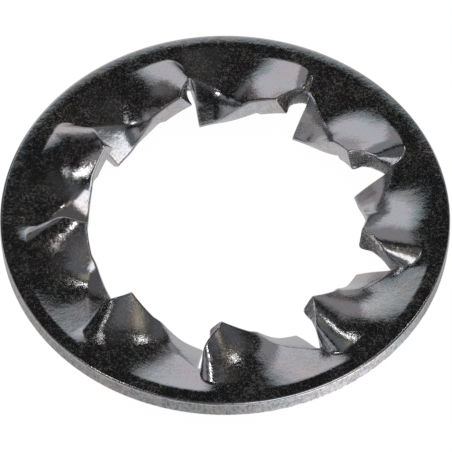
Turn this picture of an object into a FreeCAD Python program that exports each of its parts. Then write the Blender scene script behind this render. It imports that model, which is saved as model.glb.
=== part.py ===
import FreeCAD, Part
import math
import os
from FreeCAD import Vector

# Toothed lock washer with internal teeth, one stamped and twisted piece of spring steel.
# The origin is at the centre of the ring, half way through its thickness, and +Z is the
# ring's axis. Each tooth is twisted about its radial centre line: seen from above, its
# clockwise corner is raised and its counter-clockwise corner is lowered.

# Driving dimensions in millimetres
TOOTH_COUNT = 9
THICKNESS = 0.9
TIP_DIAMETER = 11.3         # across the twisted teeth, at mid thickness and mid tooth
TIP_SKEW = 0.1              # the raised corner reaches in by this, the lowered one stays out
TOOTH_LENGTH = 1.53         # from the tip to the root of the slits
RING_WIDTH = 1.82           # from the root of the slits to the outer edge
RIM_LAND = 0.16             # level ring between the bent band and the rounded top edge
SLIT_WIDTH = 0.12           # gap between two teeth at the root
RAISED_NOTCH = 0.43         # how far the raised corner draws back from the slit's centre line
LOWERED_NOTCH = 0.2         # the same for the lowered corner
CORNER_RISE = 0.89          # height of the raised corner above the ring
BULGE_GAP = 0.46            # from the foot of the raised half to the level ring
FOLD_GAP = 0.2              # from the tip to the lowered corner's fold, at mid tooth
ROLL_WIDTH = 0.35           # rounded top edge of the blank, across the rim
ROLL_DEPTH = 0.12           # the same, down the rim

# Form of the bent sheet; places across a tooth are shares of its half width
POCKET_SLOPE = 0.25         # fall of the lowered half towards the centre
FOLD_SLOPE = 0.48           # further fall beyond the lowered corner's fold
TWIST_LINE = -0.107         # where the raised half turns into the lowered half
POCKET_REACH = 0.78         # from the twist line to the full depth of the lowered half
POCKET_OVERLAP = 0.35       # how far that hollow runs on behind the slit
BULGE_CORNER = 0.23         # rounded corner of the raised half's foot, beside the slit
RISE_POWER = 2              # the raised half climbs fast at its foot and levels at the tip
FOOT_SOFTNESS = 0.05        # rounding of the bend lines, in millimetres
FOLD_SOFTNESS = 0.07        # the same for the fold
TWIST_SOFTNESS = 0.1        # the same for the twist line, as a share of the half width
ROLL_POWER = 2.5            # exponent of the rounded edge

# Spans of the smooth surfaces
SPANS_ALONG_TOOTH = 8
SPANS_ALONG_BAND = 7
SPANS_ALONG_ROLL = 3
SPANS_ACROSS = 16
DEGREE = 3
PROBE = 0.12                # half the stretch over which the lean of the cut edges is read

# Sizes that follow
PITCH = 2 * math.pi / TOOTH_COUNT
TIP_RADIUS = TIP_DIAMETER / 2
ROOT_RADIUS = TIP_RADIUS + TOOTH_LENGTH
OUTER_RADIUS = ROOT_RADIUS + RING_WIDTH
LAND_RADIUS = OUTER_RADIUS - ROLL_WIDTH
DISH_RADIUS = LAND_RADIUS - RIM_LAND
BULGE_RADIUS = DISH_RADIUS - BULGE_GAP
HALF = THICKNESS / 2
TOP = 1
BOTTOM = -1


def limit(value, low, high):
    return max(low, min(high, value))


def ease(value):
    x = limit(value, 0.0, 1.0)
    return x * x * (3 - 2 * x)


def tip_radius(w):
    """Radius of the tip; w runs from -1 at the raised edge to 1 at the lowered edge."""
    return TIP_RADIUS + TIP_SKEW * w


def angle(r, w):
    """Angle from the tooth's centre line of the place w across the tooth, at radius r."""
    notch = RAISED_NOTCH if w < 0 else LOWERED_NOTCH
    along = limit((r - tip_radius(w)) / (ROOT_RADIUS - tip_radius(w)), 0.0, 1.0)
    gap = notch + (SLIT_WIDTH / 2 - notch) * along
    return w * (PITCH / 2 - gap / r)


def beyond(distance, softness):
    """The distance where it is positive and nothing where it is not, with a rounded bend."""
    if abs(distance) < softness:
        return (distance + softness) ** 2 / (4 * softness)
    return max(0.0, distance)


def climb(r, w):
    """Share of the raised half's height reached at radius r, 0 at its foot and 1 at the tip."""
    corner = limit((w + 1) / BULGE_CORNER, 0.0, 1.0)
    outline = math.sqrt(max(0.0, 1 - (1 - corner) ** 2))
    foot = ROOT_RADIUS + (BULGE_RADIUS - ROOT_RADIUS) * outline
    inward = beyond(foot - r, FOOT_SOFTNESS) / (foot - tip_radius(w))
    return 1 - (1 - limit(inward, 0.0, 1.0)) ** RISE_POWER


def hollow(r, w):
    """Share of the lowered half's slope that acts here, also past the slit."""
    reach = limit(beyond(w - TWIST_LINE, TWIST_SOFTNESS) / POCKET_REACH, 0.0, 1.0)
    past_slit = (1 - ease((w + 1) / POCKET_OVERLAP)) * (1 - climb(r, w))
    return math.sin(reach * math.pi / 2) + past_slit


def height(r, w):
    """Height of the bent sheet's middle."""
    raised = CORNER_RISE * beyond(TWIST_LINE - w, TWIST_SOFTNESS) / (1 + TWIST_LINE)
    inward = beyond(DISH_RADIUS - FOOT_SOFTNESS - r, FOOT_SOFTNESS)
    fold_start = TIP_RADIUS + FOLD_GAP
    fold = fold_start + (ROOT_RADIUS - fold_start) * w
    folded = beyond(fold - r, FOLD_SOFTNESS)
    return raised * climb(r, w) - POCKET_SLOPE * inward * hollow(r, w) - FOLD_SLOPE * folded


def lean(r, w):
    """Slope of the sheet, outward and counter-clockwise, that its cut edges lean with."""
    near_tip = 1 - ease((r - tip_radius(w)) / (ROOT_RADIUS - tip_radius(w)))
    w_low = max(-1.0, w - PROBE)
    w_high = min(1.0, w + PROBE)
    arc = r * (angle(r, w_high) - angle(r, w_low))
    out = (height(r + PROBE, w) - height(r - PROBE, w)) / (2 * PROBE)
    round_ = (height(r, w_high) - height(r, w_low)) / arc
    return out * near_tip, round_ * near_tip


def sheet_point(r, w, face):
    """Point on the top or bottom face of the bent sheet, square to its middle near the tip."""
    out, round_ = lean(r, w)
    length = math.sqrt(1 + out * out + round_ * round_)
    shift = face * HALF / length
    a = angle(r, w)
    radial = r - out * shift
    sideways = -round_ * shift
    x = radial * math.cos(a) - sideways * math.sin(a)
    y = radial * math.sin(a) + sideways * math.cos(a)
    return Vector(x, y, height(r, w) + shift)


def level_point(r, w, z):
    a = angle(r, w)
    return Vector(r * math.cos(a), r * math.sin(a), z)


def roll_point(share, w):
    """Point on the rounded edge, from the level ring out and down to the rim."""
    r = LAND_RADIUS + share * ROLL_WIDTH
    return level_point(r, w, HALF - ROLL_DEPTH * share ** ROLL_POWER)


def knots(spans):
    """Even knots from 0 to 1 with their multiplicities."""
    values = [k / spans for k in range(spans + 1)]
    mults = [DEGREE + 1] + [1] * (spans - 1) + [DEGREE + 1]
    return values, mults


def pole_places(spans):
    """Where along the surface each pole acts."""
    values, mults = knots(spans)
    flat = []
    for value, mult in zip(values, mults):
        flat += [value] * mult
    return [sum(flat[k + 1:k + 1 + DEGREE]) / DEGREE for k in range(spans + DEGREE)]


def surface(rows, spans_along):
    """Smooth surface from rows of poles."""
    along, along_mults = knots(spans_along)
    across, across_mults = knots(SPANS_ACROSS)
    result = Part.BSplineSurface()
    result.buildFromPolesMultsKnots(
        rows, along_mults, across_mults, along, across, False, False, DEGREE, DEGREE)
    return result


def places_across():
    return [2 * place - 1 for place in pole_places(SPANS_ACROSS)]


def sheet_surface(face):
    """The bent sheet from the tips to the dish's edge, split at the root of the slits."""
    spans = SPANS_ALONG_TOOTH + SPANS_ALONG_BAND
    root = SPANS_ALONG_TOOTH / spans
    rows = []
    for place in pole_places(spans):
        row = []
        for w in places_across():
            tip = tip_radius(w)
            if place < root:
                r = tip + (ROOT_RADIUS - tip) * place / root
            else:
                r = ROOT_RADIUS + (DISH_RADIUS - ROOT_RADIUS) * (place - root) / (1 - root)
            row.append(sheet_point(r, w, face))
        rows.append(row)
    whole = surface(rows, spans)
    tooth = whole.copy()
    tooth.segment(0.0, root, 0.0, 1.0)
    band = whole.copy()
    band.segment(root, 1.0, 0.0, 1.0)
    return tooth, band


def roll_surface():
    rows = []
    for place in pole_places(SPANS_ALONG_ROLL):
        rows.append([roll_point(place, w) for w in places_across()])
    return surface(rows, SPANS_ALONG_ROLL)


def level_curve(r, z):
    """Level edge over one tooth's width, with the knots of the surfaces."""
    across, across_mults = knots(SPANS_ACROSS)
    result = Part.BSplineCurve()
    result.buildFromPolesMultsKnots(
        [level_point(r, w, z) for w in places_across()], across_mults, across, False, DEGREE)
    return result


def ruled(first, second):
    """Flat-ruled strip between two edges with the same knots."""
    result = Part.BSplineSurface()
    result.buildFromPolesMultsKnots(
        [first.getPoles(), second.getPoles()],
        [2, 2], first.getMultiplicities(), [0.0, 1.0], first.getKnots(),
        False, False, 1, first.Degree)
    return result


def edge(patch, where):
    """One edge of a patch: inner, outer, raised or lowered."""
    u0, u1, v0, v1 = patch.bounds()
    if where == "inner":
        return patch.uIso(u0)
    if where == "outer":
        return patch.uIso(u1)
    if where == "raised":
        return patch.vIso(v0)
    return patch.vIso(v1)


def turned(curve, turn):
    copy = curve.copy()
    copy.rotate(FreeCAD.Placement(Vector(0, 0, 0), Vector(0, 0, 1), math.degrees(turn)))
    return copy


def behind_slit(patch):
    """Strip that joins a patch's lowered edge to the next tooth's raised edge."""
    return ruled(edge(patch, "lowered"), turned(edge(patch, "raised"), PITCH))


def segment(first, second):
    """Straight edge between two points, as a curve that a strip can be ruled to."""
    return Part.LineSegment(first, second).toBSpline()


def past_end(curve):
    """Straight edge from a curve's end to its start on the next tooth."""
    return segment(curve.EndPoint, turned(curve, PITCH).StartPoint)


def sector_faces():
    """The faces of one tooth and its share of the ring, without the level rings."""
    tooth_top, band_top = sheet_surface(TOP)
    tooth_bottom, band_bottom = sheet_surface(BOTTOM)
    roll = roll_surface()
    strip_top = behind_slit(band_top)
    strip_bottom = behind_slit(band_bottom)
    rim_top = edge(roll, "outer")
    rim_bottom = level_curve(OUTER_RADIUS, -HALF)
    patches = [
        tooth_top, band_top, roll, tooth_bottom, band_bottom,
        strip_top, strip_bottom, behind_slit(roll),
        ruled(edge(tooth_top, "inner"), edge(tooth_bottom, "inner")),
        ruled(edge(tooth_top, "raised"), edge(tooth_bottom, "raised")),
        ruled(edge(tooth_top, "lowered"), edge(tooth_bottom, "lowered")),
        ruled(past_end(edge(band_top, "inner")), past_end(edge(band_bottom, "inner"))),
        ruled(rim_top, rim_bottom),
        ruled(past_end(rim_top), past_end(rim_bottom)),
    ]
    return [patch.toShape() for patch in patches]


def loop(curve):
    """Closed wire of a curve repeated at each tooth, with the straight edges between."""
    edges = []
    for tooth in range(TOOTH_COUNT):
        for part in (curve, past_end(curve)):
            edges.append(turned(part, tooth * PITCH).toShape())
    return Part.Wire(edges)


def level_ring(inner, outer):
    return Part.makeFace([loop(outer), loop(inner)], "Part::FaceMakerBullseye")


def lock_washer():
    faces = [
        level_ring(level_curve(DISH_RADIUS, HALF), level_curve(LAND_RADIUS, HALF)),
        level_ring(level_curve(DISH_RADIUS, -HALF), level_curve(OUTER_RADIUS, -HALF)),
    ]
    for tooth in range(TOOTH_COUNT):
        for face in sector_faces():
            face.rotate(Vector(0, 0, 0), Vector(0, 0, 1), math.degrees(tooth * PITCH))
            faces.append(face)
    sewn = Part.Compound(faces)
    sewn.sewShape()
    solid = Part.Solid(sewn.Shells[0])
    if solid.Volume < 0:
        solid.reverse()
    return solid


os.makedirs("parts", exist_ok=True)
washer = lock_washer()
print("valid", washer.isValid(), "closed", washer.isClosed(), "volume", round(washer.Volume, 2))
washer.exportStep("parts/lock_washer.step")
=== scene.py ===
import math

import bmesh
import bpy
import numpy as np
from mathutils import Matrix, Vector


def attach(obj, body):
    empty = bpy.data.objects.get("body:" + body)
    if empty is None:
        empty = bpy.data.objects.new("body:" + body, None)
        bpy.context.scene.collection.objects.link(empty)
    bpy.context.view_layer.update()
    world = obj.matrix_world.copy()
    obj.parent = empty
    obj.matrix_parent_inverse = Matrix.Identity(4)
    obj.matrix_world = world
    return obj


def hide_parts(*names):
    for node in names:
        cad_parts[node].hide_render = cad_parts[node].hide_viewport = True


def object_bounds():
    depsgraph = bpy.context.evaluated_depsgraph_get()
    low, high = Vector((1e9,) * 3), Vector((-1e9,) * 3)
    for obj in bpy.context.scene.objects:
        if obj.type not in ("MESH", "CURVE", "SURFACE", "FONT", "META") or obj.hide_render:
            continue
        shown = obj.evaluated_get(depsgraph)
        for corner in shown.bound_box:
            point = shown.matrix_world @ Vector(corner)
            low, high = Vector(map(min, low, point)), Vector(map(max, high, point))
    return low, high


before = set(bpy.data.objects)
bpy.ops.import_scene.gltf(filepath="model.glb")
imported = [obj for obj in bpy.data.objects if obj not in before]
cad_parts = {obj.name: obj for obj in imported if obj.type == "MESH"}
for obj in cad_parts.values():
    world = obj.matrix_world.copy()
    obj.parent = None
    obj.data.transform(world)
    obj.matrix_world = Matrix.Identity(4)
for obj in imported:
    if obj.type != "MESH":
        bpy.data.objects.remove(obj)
cad_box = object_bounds()

# Toothed lock washer of bright zinc-plated steel. The stamped sheet is rebuilt here as one
# fine mesh with rounded cut edges, from the same sizes as the solid, in millimetres.
MM = 0.001
TOOTH_COUNT = 9
THICKNESS = 0.9
TIP_DIAMETER = 11.3         # across the twisted teeth, at mid thickness and mid tooth
TIP_SKEW = 0.1              # the raised corner reaches in by this, the lowered one stays out
TOOTH_LENGTH = 1.53         # from the tip to the root of the slits
RING_WIDTH = 1.82           # from the root of the slits to the outer edge
RIM_WIDTH = 0.51            # level ring and rounded top edge, outside the bent band
SLIT_WIDTH = 0.12           # gap between two teeth at the root
RAISED_NOTCH = 0.43         # how far the raised corner draws back from the slit's centre line
LOWERED_NOTCH = 0.2         # the same for the lowered corner
CORNER_RISE = 0.89          # height of the raised corner above the ring
BULGE_GAP = 0.46            # from the foot of the raised half to the level ring
FOLD_GAP = 0.2              # from the tip to the lowered corner's fold, at mid tooth
ROLL_WIDTH = 0.48           # rounded top edge of the blank, across the rim
ROLL_DEPTH = 0.05           # the same, down the rim

# Form of the bent sheet
POCKET_SLOPE = 0.25         # fall of the lowered half towards the centre
FOLD_SLOPE = 0.48           # further fall beyond the lowered corner's fold
TWIST_LINE = -0.107         # where the raised half turns into the lowered half
POCKET_REACH = 0.78         # from the twist line to the full depth of the lowered half
POCKET_OVERLAP = 0.35       # how far that hollow runs on behind the slit
BULGE_CORNER = 0.23         # rounded corner of the raised half's foot, beside the slit
RISE_POWER = 2              # the raised half climbs fast at its foot and levels at the tip
FOOT_SOFTNESS = 0.05        # rounding of the bend lines
FOLD_SOFTNESS = 0.07        # the same for the fold
TWIST_SOFTNESS = 0.1        # the same for the twist line, as a share of the half width
ROLL_POWER = 1.6            # exponent of the rounded top edge
PROBE = 0.12                # half the stretch over which the lean of the cut edges is read

# Cut edges
EDGE_ROUND = 0.09           # radius of the rounded cut edges
DEEPEST_ROUND = 1.5         # most that two roundings take off where they meet, in radii
ROUND_TAPER = 0.25          # the rounding of a slit's edges runs out over this at its root
SHEAR_SHARE = 0.42          # share of the outer wall that the punch left smooth
BREAK_STEP = 0.03           # how far the broken part of the outer wall stands back
BREAK_BLEND = 0.08          # share of the outer wall over which it steps back

# Mesh density, as points or spans along each stretch
ACROSS = 60
ALONG_TOOTH = 24
ALONG_BAND = 22
ALONG_ROLL = 12
ALONG_WALL = 6
ROUND_STEPS = 4

# Joining of the mesh, in metres, and the sharpest bend in degrees that is still shaded smooth
MERGE_DISTANCE = 1e-7
SHORTEST_EDGE = 1e-8
SMOOTH_BEND = 48

# Kinds of surface, as the mesh carries them to the material
STAMPED_FACE = 0.0
CUT_WALL = 1.0
RAISED_SLIT_WALL = 1.5
OUTER_WALL = 2.0

# Sizes that follow
PITCH = 2 * math.pi / TOOTH_COUNT
TIP_RADIUS = TIP_DIAMETER / 2
ROOT_RADIUS = TIP_RADIUS + TOOTH_LENGTH
OUTER_RADIUS = ROOT_RADIUS + RING_WIDTH
LAND_RADIUS = OUTER_RADIUS - ROLL_WIDTH
DISH_RADIUS = OUTER_RADIUS - RIM_WIDTH
BULGE_RADIUS = DISH_RADIUS - BULGE_GAP
HALF = THICKNESS / 2
TOP = 1
BOTTOM = -1

# Zinc plating: faint tints by place in the tint texture, and brownish haze
PLATING_TINTS = [(0.30, (0.55, 0.61, 0.64)), (0.48, (0.59, 0.60, 0.65)), (0.70, (0.67, 0.59, 0.60))]
HAZE_COLOUR = (0.56, 0.51, 0.45, 1.0)
WHITE = (1.0, 1.0, 1.0, 1.0)

# Painted shade on the cut walls, read at half their kind of surface: the tip walls and lowered slit
# walls keep the plating's full colour, the raised slit walls are painted darkest and the outer wall
# darker
WALL_PAINTED_SHADE = [(0.0, (1.0, 1.0, 1.0)), (0.6, (0.3, 0.32, 0.33)), (0.9, (0.60, 0.60, 0.60))]

# Textures of the metal: scale, detail and roughness
GRAIN = (10000.0, 3.0, 0.7)
PEEL = (2200.0, 4.0, 0.6)
PATCH = (900.0, 4.0, 0.7)
TINT = (700.0, 4.0, 0.6)
SHEAR_MARKS = (7000.0, 4.0, 0.7)
MARK_STRETCH = (1.0, 1.0, 0.45)

# Ranges of a texture or surface kind, and the values that they are mapped to
EVEN_MARKS = (0.36, 0.64, 1.0, 1.25)
COARSE_MARKS = (0.36, 0.64, 0.60, 1.3)
OUTER_WALL_ONLY = (1.6, 1.9, 0.0, 1.0)
PATCHINESS = (0.30, 0.70, -0.07, 0.07)
SPECK_ROUGHNESS = (0.36, 0.82, 0.08, 0.28)
SPECK_HAZE = (0.42, 0.76, 0.0, 1.0)
HAZE_METALLIC = (0.0, 1.0, 1.0, 0.94)
CUT_ROUGHNESS = 0.06

# Relief of the metal: strength, and depth in metres
FINE_RELIEF = (0.45, 0.00001)
BROAD_RELIEF = (0.4, 0.00003)
TORN_RELIEF = (0.95, 0.00004)

# Floor, in metres. The metal mirrors it bright close by and dimmer further off, and
# brightest in front of the washer on the right, where the outer wall mirrors it.
FLOOR_HALF = 1.5
FLOOR_COLOUR = (0.9, 0.9, 0.9, 1.0)
FLOOR_SEEN = 1.02
FLOOR_SEEN_SHARE = 0.95
FLOOR_FADE = (0.008, 0.05, 0.62, 0.31)
BRIGHT_PLACE = (0.0062, -0.0095, 0.0)
BRIGHT_FADE = (0.001, 0.0072, 2.8, 1.0)

# Pale parts of the room that the metal mirrors: centre and half width round the horizon,
# bottom and top edges, softness of the edges, all in degrees, then level and tint
ROOM = [
    ("far_wall", 96, 24, -90, 36, 3, 0.66, (1.02, 1.0, 1.04)),
    ("far_top", 97, 27, 30, 44, 3, 0.40, (0.92, 1.03, 1.04)),
    ("far_fringe", 96, 28, -90, 39, 4, 0.20, (1.12, 1.0, 0.80)),
    ("far_right", 64, 18, -90, 36, 4, 0.29, (1.0, 1.0, 1.04)),
    ("far_left", 130, 10, 20, 37, 4, 0.14, (1.0, 1.0, 1.04)),
    ("left_wall", 170, 13, -90, 36, 4, 0.33, (1.04, 1.0, 1.04)),
    ("left_pane", -170, 9, 40, 52, 4, 0.28, (1.0, 1.0, 1.0)),
    ("left_front", -150, 20, -90, 30, 6, 0.18, (0.90, 1.0, 1.02)),
    ("front", -97, 32, -90, 44, 3, 0.15, (0.90, 1.0, 1.02)),
    ("front_pane", -124, 8, 24, 40, 3, 0.42, (1.0, 1.0, 1.0)),
    ("front_strip", -140, 26, 14, 20, 2, 0.7, (1.0, 1.0, 0.98)),
    ("window", -58, 28, 20, 49, 6, 1.5, (1.0, 1.0, 1.0)),
    ("right", 2, 28, -90, 46, 8, 0.11, (0.97, 1.0, 1.04)),
    ("glow_right", 18, 6, 50, 62, 8, 0.34, (1.10, 1.0, 0.78)),
    ("glow_front", -14, 13, 50, 64, 7, 0.46, (1.10, 1.0, 0.78)),
    ("glow_left", -156, 8, 52, 62, 7, 0.20, (1.10, 1.0, 0.78)),
    ("upper_front", -60, 42, 47, 80, 8, 0.14, (0.95, 1.0, 1.08)),
    ("high_left", -110, 26, 60, 80, 6, 0.09, (0.95, 1.0, 1.08)),
    ("zenith", 80, 60, 80, 130, 5, 0.045, (1.0, 1.0, 1.0)),
    ("ceiling", -60, 105, 68, 130, 10, 0.035, (1.04, 1.0, 0.92)),
]
DARK_ROOM = (0.0105, 0.0100, 0.0095, 1.0)
PLAIN_LIGHT = (0.95, 0.95, 0.95, 1.0)

# Small lamps: turn and lift in degrees, size in metres and power in watts
LAMPS = [
    ("lamp_right", 22, 57, 0.11, 0.10),
    ("lamp_left", -158, 58, 0.13, 0.22),
    ("lamp_high", -174, 73, 0.10, 0.05),
]
LAMP_DISTANCE = 1.0

# View of the photograph: angles in degrees, distances in metres, the rest in pixels
CAMERA_ELEVATION = 55.18
CAMERA_TURN = -1.74
CAMERA_DISTANCE = 0.4
NEAREST_SEEN = 0.01
FURTHEST_SEEN = 10
IMAGE_SIZE = 452
PIXELS_PER_MM = 25.006
CENTRE_PIXEL = (225.06, 223.08)
SENSOR = 36.0               # the camera's own width, in its millimetres


def ease(x):
    x = np.clip(x, 0.0, 1.0)
    return x * x * (3 - 2 * x)


def tip_radius(w):
    return TIP_RADIUS + TIP_SKEW * w


def along_tooth(r, w):
    return np.clip((r - tip_radius(w)) / (ROOT_RADIUS - tip_radius(w)), 0.0, 1.0)


def angle(r, w):
    """Angle from the tooth's centre line. w runs from -1 at the raised side to 1."""
    notch = np.where(w < 0, RAISED_NOTCH, LOWERED_NOTCH)
    gap = notch + (SLIT_WIDTH / 2 - notch) * along_tooth(r, w)
    return w * (PITCH / 2 - gap / r)


def beyond(distance, softness):
    """The distance where it is positive and nothing where it is not, with a rounded bend."""
    rounded = (distance + softness) ** 2 / (4 * softness)
    return np.where(np.abs(distance) < softness, rounded, np.maximum(0.0, distance))


def climb(r, w):
    """Share of the raised half's height reached at radius r."""
    corner = np.clip((w + 1) / BULGE_CORNER, 0.0, 1.0)
    outline = np.sqrt(np.maximum(0.0, 1 - (1 - corner) ** 2))
    foot = ROOT_RADIUS + (BULGE_RADIUS - ROOT_RADIUS) * outline
    inward = beyond(foot - r, FOOT_SOFTNESS) / (foot - tip_radius(w))
    return 1 - (1 - np.clip(inward, 0.0, 1.0)) ** RISE_POWER


def hollow(r, w):
    """Share of the lowered half's slope that acts here, also past the slit."""
    reach = np.clip(beyond(w - TWIST_LINE, TWIST_SOFTNESS) / POCKET_REACH, 0.0, 1.0)
    return np.sin(reach * math.pi / 2) + (1 - ease((w + 1) / POCKET_OVERLAP)) * (1 - climb(r, w))


def height(r, w):
    """Height of the bent sheet's middle."""
    raised = CORNER_RISE * beyond(TWIST_LINE - w, TWIST_SOFTNESS) / (1 + TWIST_LINE)
    inward = beyond(DISH_RADIUS - FOOT_SOFTNESS - r, FOOT_SOFTNESS)
    fold_start = TIP_RADIUS + FOLD_GAP
    folded = beyond(fold_start + (ROOT_RADIUS - fold_start) * w - r, FOLD_SOFTNESS)
    return raised * climb(r, w) - POCKET_SLOPE * inward * hollow(r, w) - FOLD_SLOPE * folded


def edge_drop(distance):
    """How far a rounded edge lies below the flat face, this far from the edge."""
    inside = EDGE_ROUND - np.clip(distance, 0.0, EDGE_ROUND)
    return EDGE_ROUND - np.sqrt(np.maximum(0.0, EDGE_ROUND ** 2 - inside ** 2))


def rim_radius(face):
    return OUTER_RADIUS if face == TOP else OUTER_RADIUS - BREAK_STEP


def rounding(r, w, face):
    """How far the rounded edges of the tip, the slit and the rim lie below the face."""
    to_slit = (1 - np.abs(w)) * ROOT_RADIUS * PITCH / 2
    in_slit = ease((ROOT_RADIUS - r) / ROUND_TAPER)
    drop = edge_drop(r - tip_radius(w)) + edge_drop(to_slit) * in_slit + edge_drop(rim_radius(face) - r)
    return np.minimum(drop, DEEPEST_ROUND * EDGE_ROUND)


def sheet_points(r, w, face):
    """Points on the top or bottom face, square to the sheet's middle near the tips."""
    near_tip = 1 - ease(along_tooth(r, w))
    w_low = np.maximum(-1.0, w - PROBE)
    w_high = np.minimum(1.0, w + PROBE)
    arc = r * (angle(r, w_high) - angle(r, w_low))
    out = (height(r + PROBE, w) - height(r - PROBE, w)) / (2 * PROBE) * near_tip
    turn = (height(r, w_high) - height(r, w_low)) / arc * near_tip
    shift = face * (HALF - rounding(r, w, face)) / np.sqrt(1 + out ** 2 + turn ** 2)
    roll = np.maximum(0.0, (r - LAND_RADIUS) / ROLL_WIDTH) if face == TOP else 0.0 * r
    z = height(r, w) + shift - ROLL_DEPTH * roll ** ROLL_POWER
    a = angle(r, w)
    radial = r - out * shift
    sideways = -turn * shift
    x = radial * np.cos(a) - sideways * np.sin(a)
    y = radial * np.sin(a) + sideways * np.cos(a)
    return np.stack([x, y, z], axis=-1)


def round_steps():
    """Distances from an edge at which its rounding needs a row of points."""
    quarter = np.linspace(math.pi / 2, 0.0, ROUND_STEPS + 1)
    return EDGE_ROUND * (1 - np.sin(quarter))


def places_across():
    steps = round_steps() / (ROOT_RADIUS * PITCH / 2)
    inner = np.linspace(-1 + steps[-1], 1 - steps[-1], ACROSS)
    return np.concatenate([-1 + steps[:-1], inner, (1 - steps[:-1])[::-1]])


def sheet_grid(face):
    """Rows of points from the tip to the rim, and the row at the root of the slits."""
    w = places_across()[None, :]
    tip = tip_radius(w)
    steps = round_steps()[:, None] + 0 * w
    share = np.linspace(0.0, 1.0, ALONG_TOOTH)[1:, None]
    tooth = tip + steps[-1] + (ROOT_RADIUS - tip - steps[-1]) * share
    band = np.linspace(ROOT_RADIUS, DISH_RADIUS, ALONG_BAND)[1:, None] + 0 * w
    last = rim_radius(face) - round_steps()[::-1]
    rim = np.concatenate([np.linspace(DISH_RADIUS, last[0], ALONG_ROLL)[1:-1], last])
    r = np.concatenate([tip + steps, tooth, band, rim[:, None] + 0 * w])
    root_row = len(steps) + ALONG_TOOTH - 2
    return sheet_points(r, w + 0 * r, face), root_row


def turned(points, turn):
    c = math.cos(turn)
    s = math.sin(turn)
    x, y, z = points[..., 0], points[..., 1], points[..., 2]
    return np.stack([x * c - y * s, x * s + y * c, z], axis=-1)


def between(first, second, shares):
    """Grid of points from one edge to another."""
    k = np.asarray(shares)[:, None, None]
    return first[None] * (1 - k) + second[None] * k


def rim_wall(top_edge, bottom_edge):
    """Outer wall: smooth at the top where it was sheared, set back where it broke."""
    shares = np.linspace(0.0, 1.0, 2 * ALONG_WALL + 1)
    wall = between(top_edge, bottom_edge, shares)
    step = BREAK_STEP * ease((shares - SHEAR_SHARE) / BREAK_BLEND)
    scale = (OUTER_RADIUS - step)[:, None] / np.hypot(wall[..., 0], wall[..., 1])
    wall[..., 0] *= scale
    wall[..., 1] *= scale
    return wall


class Builder:
    """Collects grids of quads, and the kind of surface at each point."""

    def __init__(self):
        self.points = []
        self.quads = []
        self.kinds = []

    def grid(self, points, flip, kind):
        rows, columns = points.shape[:2]
        start = len(self.points)
        self.points.extend(points.reshape(-1, 3))
        self.kinds.extend([kind] * (rows * columns))
        for i in range(rows - 1):
            for j in range(columns - 1):
                a = start + i * columns + j
                quad = (a, a + columns, a + columns + 1, a + 1)
                self.quads.append(quad[::-1] if flip else quad)


def add_sector(build, turn):
    """One tooth and its share of the ring, with the strip of ring behind the next slit."""
    top, root = sheet_grid(TOP)
    bottom, _ = sheet_grid(BOTTOM)
    top = turned(top, turn)
    bottom = turned(bottom, turn)
    next_top = turned(top, PITCH)
    next_bottom = turned(bottom, PITCH)
    strip_top = np.stack([top[root:, -1], next_top[root:, 0]], axis=1)
    strip_bottom = np.stack([bottom[root:, -1], next_bottom[root:, 0]], axis=1)
    build.grid(top, False, STAMPED_FACE)
    build.grid(bottom, True, STAMPED_FACE)
    build.grid(strip_top, False, STAMPED_FACE)
    build.grid(strip_bottom, True, STAMPED_FACE)

    shares = np.linspace(0.0, 1.0, ALONG_WALL + 1)
    slit = slice(0, root + 1)
    build.grid(between(top[0], bottom[0], shares), True, CUT_WALL)
    build.grid(between(top[slit, 0], bottom[slit, 0], shares), False, RAISED_SLIT_WALL)
    build.grid(between(top[slit, -1], bottom[slit, -1], shares), True, CUT_WALL)
    build.grid(between(strip_top[0], strip_bottom[0], shares), True, CUT_WALL)
    build.grid(rim_wall(top[-1], bottom[-1]), False, OUTER_WALL)
    build.grid(rim_wall(strip_top[-1], strip_bottom[-1]), False, OUTER_WALL)


def join_grids(mesh):
    """Joins the grids along their edges into one closed surface that faces out."""
    edit = bmesh.new()
    edit.from_mesh(mesh)
    bmesh.ops.remove_doubles(edit, verts=edit.verts, dist=MERGE_DISTANCE)
    bmesh.ops.dissolve_degenerate(edit, edges=edit.edges, dist=SHORTEST_EDGE)
    bmesh.ops.recalc_face_normals(edit, faces=edit.faces)
    edit.to_mesh(mesh)
    edit.free()


def washer_object():
    build = Builder()
    for tooth in range(TOOTH_COUNT):
        add_sector(build, tooth * PITCH)
    mesh = bpy.data.meshes.new("washer")
    mesh.from_pydata((np.array(build.points) * MM).tolist(), [], build.quads)
    cut = mesh.attributes.new("cut", "FLOAT", "POINT")
    cut.data.foreach_set("value", build.kinds)
    join_grids(mesh)
    mesh.polygons.foreach_set("use_smooth", [True] * len(mesh.polygons))
    mesh.set_sharp_from_angle(angle=math.radians(SMOOTH_BEND))
    piece = bpy.data.objects.new("washer", mesh)
    bpy.context.scene.collection.objects.link(piece)
    return piece


def node(tree, kind, **values):
    """New node. A value that is no property of the node goes to the input of that name."""
    made = tree.nodes.new(kind)
    for name, value in values.items():
        if hasattr(made, name):
            setattr(made, name, value)
        else:
            made.inputs[name].default_value = value
    return made


def feed(tree, socket, value):
    """Links another node's output to a socket, or sets the socket to a constant."""
    if isinstance(value, bpy.types.NodeSocket):
        tree.links.new(value, socket)
    else:
        socket.default_value = value


def maths(tree, operation, *values):
    made = node(tree, "ShaderNodeMath", operation=operation)
    for socket, value in zip(made.inputs, values):
        feed(tree, socket, value)
    return made.outputs["Value"]


def noise(tree, place, settings):
    scale, detail, roughness = settings
    made = node(tree, "ShaderNodeTexNoise", Scale=scale, Detail=detail, Roughness=roughness)
    feed(tree, made.inputs["Vector"], place)
    return made.outputs["Fac"]


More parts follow.
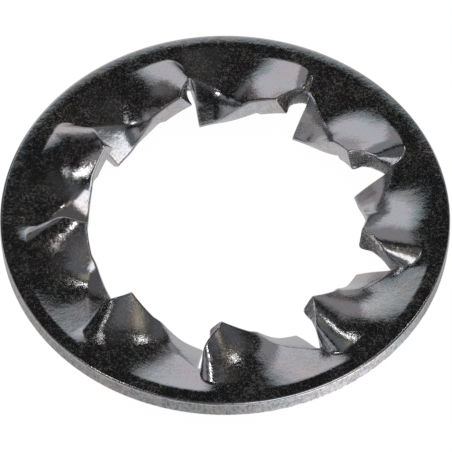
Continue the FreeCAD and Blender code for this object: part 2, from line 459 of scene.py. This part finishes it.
def ramp(tree, value, low, high, low_value=0.0, high_value=1.0):
    """Maps one range of a value to another, with soft ends."""
    made = node(tree, "ShaderNodeMapRange", interpolation_type="SMOOTHSTEP")
    made.inputs["From Min"].default_value = low
    made.inputs["From Max"].default_value = high
    made.inputs["To Min"].default_value = low_value
    made.inputs["To Max"].default_value = high_value
    feed(tree, made.inputs["Value"], value)
    return made.outputs["Result"]


def colour_stops(tree, value, stops, interpolation):
    """Colour from a value, by stops of position and colour."""
    made = node(tree, "ShaderNodeValToRGB")
    made.color_ramp.interpolation = interpolation
    first, last = made.color_ramp.elements
    for element, (position, colour) in ((first, stops[0]), (last, stops[-1])):
        element.position = position
        element.color = (*colour, 1.0)
    for position, colour in stops[1:-1]:
        made.color_ramp.elements.new(position).color = (*colour, 1.0)
    feed(tree, made.inputs["Fac"], value)
    return made.outputs["Color"]


def blend(tree, kind, share, first, second):
    """Blend of two colours."""
    made = node(tree, "ShaderNodeMix", data_type="RGBA", blend_type=kind)
    feed(tree, made.inputs["Factor"], share)
    feed(tree, made.inputs[6], first)
    feed(tree, made.inputs[7], second)
    return made.outputs[2]


def blend_values(tree, share, first, second):
    """Blend of two numbers."""
    made = node(tree, "ShaderNodeMix", data_type="FLOAT")
    feed(tree, made.inputs[0], share)
    feed(tree, made.inputs[2], first)
    feed(tree, made.inputs[3], second)
    return made.outputs[0]


def relief(tree, texture, strength, depth, below=None):
    """Fine relief from a texture, laid over a broader one."""
    made = node(tree, "ShaderNodeBump", Distance=depth)
    feed(tree, made.inputs["Strength"], strength)
    feed(tree, made.inputs["Height"], texture)
    if below is not None:
        feed(tree, made.inputs["Normal"], below)
    return made.outputs["Normal"]


def wall_colour(tree, kind, marks):
    """White on the stamped faces; on the cut walls, shear marks, coarse on the outer wall, times a
    painted shade that is darkest on the raised slit walls and lighter on the outer wall.
    """
    even = ramp(tree, marks, *EVEN_MARKS)
    coarse = ramp(tree, marks, *COARSE_MARKS)
    shade = blend_values(tree, ramp(tree, kind, *OUTER_WALL_ONLY), even, coarse)
    # painted shade by kind of surface: darkest on the raised slit walls, lighter on the outer wall,
    # none on the tip walls
    half_kind = maths(tree, "MULTIPLY", kind, 0.5)
    painted_shade = colour_stops(tree, half_kind, WALL_PAINTED_SHADE, "CONSTANT")
    return blend(tree, "MIX", kind, WHITE, maths(tree, "MULTIPLY", shade, painted_shade))


def zinc_material():
    material = bpy.data.materials.new("zinc_plated_steel")
    material.use_nodes = True
    tree = material.node_tree
    shader = tree.nodes["Principled BSDF"]
    place = node(tree, "ShaderNodeTexCoord").outputs["Object"]
    kind = node(tree, "ShaderNodeAttribute", attribute_name="cut").outputs["Fac"]
    grain = noise(tree, place, GRAIN)

    # shear marks down the cut walls
    stretch = node(tree, "ShaderNodeMapping", Scale=MARK_STRETCH)
    feed(tree, stretch.inputs["Vector"], place)
    marks = noise(tree, stretch.outputs["Vector"], SHEAR_MARKS)
    plating = colour_stops(tree, noise(tree, place, TINT), PLATING_TINTS, "LINEAR")
    # plating tints times the cut walls' shear marks and their painted shade
    plating_and_painted_shade = blend(tree, "MULTIPLY", 1.0, plating, wall_colour(tree, kind, marks))

    # fine matt specks, more of them in some patches, and rougher cut walls
    patches = ramp(tree, noise(tree, place, PATCH), *PATCHINESS)
    speck = maths(tree, "ADD", grain, patches)
    gloss = ramp(tree, speck, *SPECK_ROUGHNESS)
    feed(tree, shader.inputs["Roughness"], maths(tree, "MULTIPLY_ADD", kind, CUT_ROUGHNESS, gloss))

    # the specks are a thin brown haze, less metallic than the bright plating
    haze = ramp(tree, speck, *SPECK_HAZE)
    feed(tree, shader.inputs["Metallic"], ramp(tree, haze, *HAZE_METALLIC))
    feed(tree, shader.inputs["Base Color"], blend(tree, "MIX", haze, plating_and_painted_shade, HAZE_COLOUR))

    # relief: broad waves, torn cut walls, and the fine grain on top
    torn_share, torn_depth = TORN_RELIEF
    broad = relief(tree, noise(tree, place, PEEL), *BROAD_RELIEF)
    torn = relief(tree, marks, maths(tree, "MULTIPLY", kind, torn_share), torn_depth, broad)
    feed(tree, shader.inputs["Normal"], relief(tree, grain, *FINE_RELIEF, torn))
    return material


def mixed_shader(tree, share, first, second):
    made = node(tree, "ShaderNodeMixShader")
    feed(tree, made.inputs["Fac"], share)
    feed(tree, made.inputs[1], first)
    feed(tree, made.inputs[2], second)
    return made.outputs["Shader"]


def floor_material():
    """Pale floor: near white to the camera, with the washer's shadow, and dimmer in the metal."""
    material = bpy.data.materials.new("floor")
    material.use_nodes = True
    tree = material.node_tree
    tree.nodes.clear()
    path = node(tree, "ShaderNodeLightPath")
    diffuse = node(tree, "ShaderNodeBsdfDiffuse", Color=FLOOR_COLOUR)
    seen = node(tree, "ShaderNodeEmission", Strength=FLOOR_SEEN)
    place = node(tree, "ShaderNodeTexCoord").outputs["Object"]
    away = node(tree, "ShaderNodeVectorMath", operation="LENGTH")
    feed(tree, away.inputs[0], place)
    fade = ramp(tree, away.outputs["Value"], *FLOOR_FADE)
    apart = node(tree, "ShaderNodeVectorMath", operation="DISTANCE")
    feed(tree, apart.inputs[0], place)
    feed(tree, apart.inputs[1], BRIGHT_PLACE)
    bright = ramp(tree, apart.outputs["Value"], *BRIGHT_FADE)
    mirrored = node(tree, "ShaderNodeEmission")
    feed(tree, mirrored.inputs["Strength"], maths(tree, "MULTIPLY", fade, bright))
    share = maths(tree, "MULTIPLY", path.outputs["Is Camera Ray"], FLOOR_SEEN_SHARE)
    lit = mixed_shader(tree, share, diffuse.outputs["BSDF"], seen.outputs["Emission"])
    whole = mixed_shader(tree, path.outputs["Is Glossy Ray"], lit, mirrored.outputs["Emission"])
    out = node(tree, "ShaderNodeOutputMaterial")
    feed(tree, out.inputs["Surface"], whole)
    return material


def add_floor():
    z = cad_box[0][2]
    corners = [(-1, -1), (1, -1), (1, 1), (-1, 1)]
    mesh = bpy.data.meshes.new("floor")
    mesh.from_pydata([(x * FLOOR_HALF, y * FLOOR_HALF, z) for x, y in corners], [], [(0, 1, 2, 3)])
    floor = bpy.data.objects.new("floor", mesh)
    bpy.context.scene.collection.objects.link(floor)
    floor.data.materials.append(floor_material())


def room_part(tree, turn, lift, centre, half, bottom, top, soft):
    """1 inside a patch of the room and 0 outside it, with soft edges."""
    offset = maths(tree, "SUBTRACT", turn, math.radians(centre))
    wrapped = maths(tree, "ABSOLUTE", maths(tree, "WRAP", offset, math.pi, -math.pi))
    across = ramp(tree, wrapped, math.radians(half + soft), math.radians(half - soft))
    below = ramp(tree, lift, math.radians(top + soft), math.radians(top - soft))
    above = ramp(tree, lift, math.radians(bottom - soft), math.radians(bottom + soft))
    return maths(tree, "MULTIPLY", maths(tree, "MULTIPLY", across, below), above)


def add_world():
    """White to the camera, the room above in the metal, plain light on everything else."""
    world = bpy.data.worlds.new("studio")
    bpy.context.scene.world = world
    world.use_nodes = True
    tree = world.node_tree
    tree.nodes.clear()
    place = node(tree, "ShaderNodeTexCoord")
    split = node(tree, "ShaderNodeSeparateXYZ")
    feed(tree, split.inputs["Vector"], place.outputs["Generated"])
    turn = maths(tree, "ARCTAN2", split.outputs["Y"], split.outputs["X"])
    lift = maths(tree, "ARCSINE", split.outputs["Z"])
    room = DARK_ROOM
    for name, centre, half, bottom, top, soft, level, tint in ROOM:
        share = room_part(tree, turn, lift, centre, half, bottom, top, soft)
        share.node.label = name
        room = blend(tree, "LIGHTEN", share, room, (*(level * k for k in tint), 1.0))
    path = node(tree, "ShaderNodeLightPath")
    light = blend(tree, "MIX", path.outputs["Is Glossy Ray"], PLAIN_LIGHT, room)
    seen = blend(tree, "MIX", path.outputs["Is Camera Ray"], light, WHITE)
    back = node(tree, "ShaderNodeBackground")
    feed(tree, back.inputs["Color"], seen)
    out = node(tree, "ShaderNodeOutputWorld")
    feed(tree, out.inputs["Surface"], back.outputs["Background"])


def add_lamp(name, turn, lift, size, power):
    """Small disc lamp that the metal mirrors as a white spot."""
    lamp = bpy.data.lights.new(name, "AREA")
    lamp.shape = "DISK"
    lamp.size = size
    lamp.energy = power
    holder = bpy.data.objects.new(name, lamp)
    a = math.radians(turn)
    e = math.radians(lift)
    holder.location = (
        LAMP_DISTANCE * math.cos(e) * math.cos(a),
        LAMP_DISTANCE * math.cos(e) * math.sin(a),
        LAMP_DISTANCE * math.sin(e))
    holder.rotation_euler = (math.radians(90 - lift), 0, math.radians(turn + 90))
    bpy.context.scene.collection.objects.link(holder)


def add_camera():
    camera = bpy.data.cameras.new("camera")
    camera.sensor_width = SENSOR
    camera.lens = SENSOR * CAMERA_DISTANCE / (IMAGE_SIZE / PIXELS_PER_MM * MM)
    camera.shift_x = (IMAGE_SIZE / 2 - CENTRE_PIXEL[0]) / IMAGE_SIZE
    camera.shift_y = (CENTRE_PIXEL[1] - IMAGE_SIZE / 2) / IMAGE_SIZE
    camera.clip_start = NEAREST_SEEN
    camera.clip_end = FURTHEST_SEEN
    holder = bpy.data.objects.new("camera", camera)
    e = math.radians(CAMERA_ELEVATION)
    t = math.radians(CAMERA_TURN)
    holder.location = (
        CAMERA_DISTANCE * math.cos(e) * math.sin(t),
        -CAMERA_DISTANCE * math.cos(e) * math.cos(t),
        CAMERA_DISTANCE * math.sin(e))
    holder.rotation_euler = (math.pi / 2 - e, 0, t)
    bpy.context.scene.collection.objects.link(holder)
    bpy.context.scene.camera = holder


washer = washer_object()
washer.data.materials.append(zinc_material())
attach(washer, "root")
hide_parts("lock_washer")
add_floor()
add_world()
for settings in LAMPS:
    add_lamp(*settings)
add_camera()
bpy.context.scene.view_settings.view_transform = "Standard"
